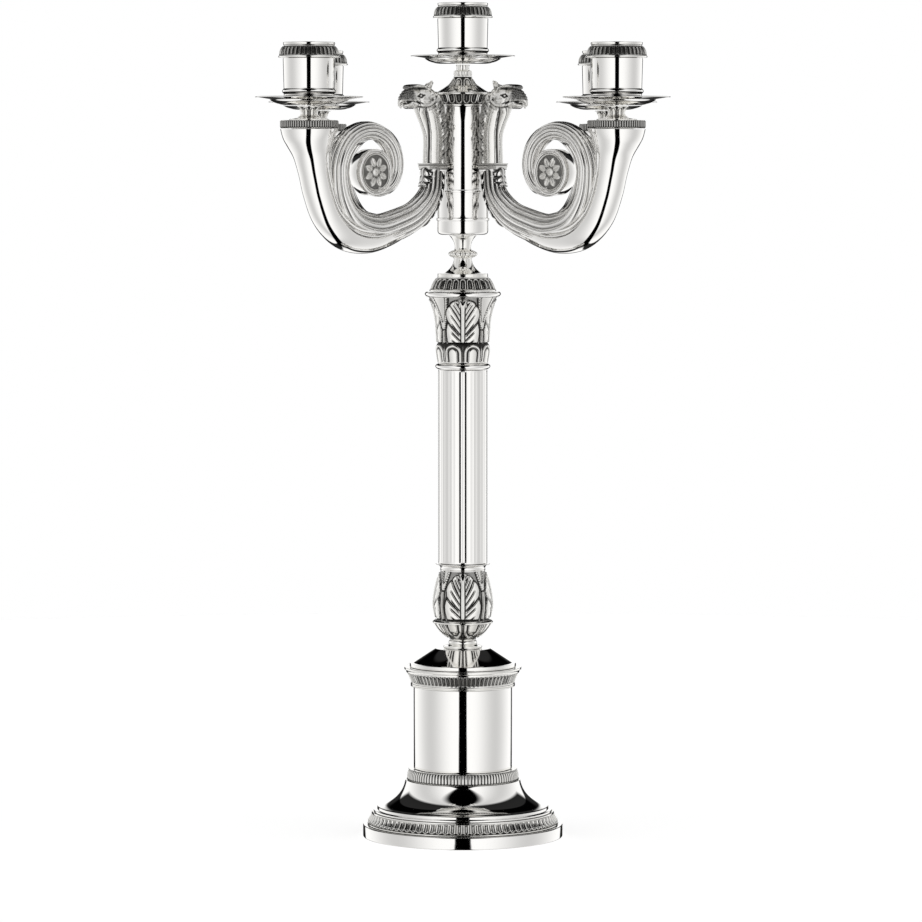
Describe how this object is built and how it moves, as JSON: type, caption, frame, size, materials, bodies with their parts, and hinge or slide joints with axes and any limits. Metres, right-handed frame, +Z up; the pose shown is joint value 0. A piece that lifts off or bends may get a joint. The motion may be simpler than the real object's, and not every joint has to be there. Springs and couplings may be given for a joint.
{
  "type": "candelabrum",
  "caption": "Silver table candelabrum: round weighted plinth, fluted column, and a lift-off branch with horn-shaped scroll arms, eagle heads, drip pans and candle nozzles.",
  "frame": {"origin": "middle of the felt under the foot, on the surface it stands on", "axes": "+Z up the column, -Y to the front, arms on the four diagonals"},
  "size_m": [0.2636, 0.2636, 0.55],
  "materials": {
    "polished_silver": "mirror-polished silver",
    "relief_silver": "cast silver ornament, bright on its high points and blackened in its recesses",
    "satin_silver": "chased satin silver with darkened recesses",
    "steel": "turned steel, hidden inside",
    "iron": "rough cast weight, hidden inside",
    "felt": "dark green felt"
  },
  "bodies": {
    "base": {"felt_pad": "felt", "base_nut": "steel", "base_plate": "steel", "foot": "polished_silver", "foot_band": "relief_silver", "foot_dome": "polished_silver", "reeded_ring": "relief_silver", "plinth_drum": "polished_silver", "ballast": "iron", "plinth_collar": "relief_silver", "plinth_cap": "polished_silver", "tie_rod": "steel", "baluster": "relief_silver", "lower_ring": "polished_silver", "fluted_shaft": "polished_silver", "upper_ring": "polished_silver", "capital": "relief_silver", "top_nut": "steel", "socket_tube": "steel", "abacus_ring": "polished_silver"},
    "spigot": {"spigot": "steel"},
    "branch": {"branch_cap": "relief_silver", "knop_stem": "polished_silver", "hub_drum": "polished_silver", "hub_tube": "polished_silver", "hub_crown": "relief_silver", "hub_cap": "polished_silver", "centre_stem": "polished_silver", "arm_back_right": "polished_silver", "eagle_back_right": "satin_silver", "rosette_back_right": "satin_silver", "mouth_cap_back_right": "relief_silver", "arm_back_left": "polished_silver", "eagle_back_left": "satin_silver", "rosette_back_left": "satin_silver", "mouth_cap_back_left": "relief_silver", "arm_front_left": "polished_silver", "eagle_front_left": "satin_silver", "rosette_front_left": "satin_silver", "mouth_cap_front_left": "relief_silver", "arm_front_right": "polished_silver", "eagle_front_right": "satin_silver", "rosette_front_right": "satin_silver", "mouth_cap_front_right": "relief_silver", "drip_pan_centre": "polished_silver", "candle_cup_centre": "polished_silver", "drip_pan_back_right": "polished_silver", "candle_cup_back_right": "polished_silver", "drip_pan_back_left": "polished_silver", "candle_cup_back_left": "polished_silver", "drip_pan_front_left": "polished_silver", "candle_cup_front_left": "polished_silver", "drip_pan_front_right": "polished_silver", "candle_cup_front_right": "polished_silver"},
    "nozzle_centre": {"nozzle_centre": "relief_silver"},
    "nozzle_back_right": {"nozzle_back_right": "relief_silver"},
    "nozzle_back_left": {"nozzle_back_left": "relief_silver"},
    "nozzle_front_left": {"nozzle_front_left": "relief_silver"},
    "nozzle_front_right": {"nozzle_front_right": "relief_silver"}
  },
  "joints": [
    {"name": "branch_lift", "type": "slide", "parent": "base", "child": "spigot", "axis": [0, 0, 1], "range_m": [0, 0.03]},
    {"name": "branch_turn", "type": "hinge", "parent": "spigot", "child": "branch", "pos_m": [0, 0, 0.3614], "axis": [0, 0, 1], "continuous": true},
    {"name": "nozzle_centre_lift", "type": "slide", "parent": "branch", "child": "nozzle_centre", "axis": [0, 0, 1], "range_m": [0, 0.025]},
    {"name": "nozzle_back_right_lift", "type": "slide", "parent": "branch", "child": "nozzle_back_right", "axis": [0, 0, 1], "range_m": [0, 0.025]},
    {"name": "nozzle_back_left_lift", "type": "slide", "parent": "branch", "child": "nozzle_back_left", "axis": [0, 0, 1], "range_m": [0, 0.025]},
    {"name": "nozzle_front_left_lift", "type": "slide", "parent": "branch", "child": "nozzle_front_left", "axis": [0, 0, 1], "range_m": [0, 0.025]},
    {"name": "nozzle_front_right_lift", "type": "slide", "parent": "branch", "child": "nozzle_front_right", "axis": [0, 0, 1], "range_m": [0, 0.025]}
  ]
}
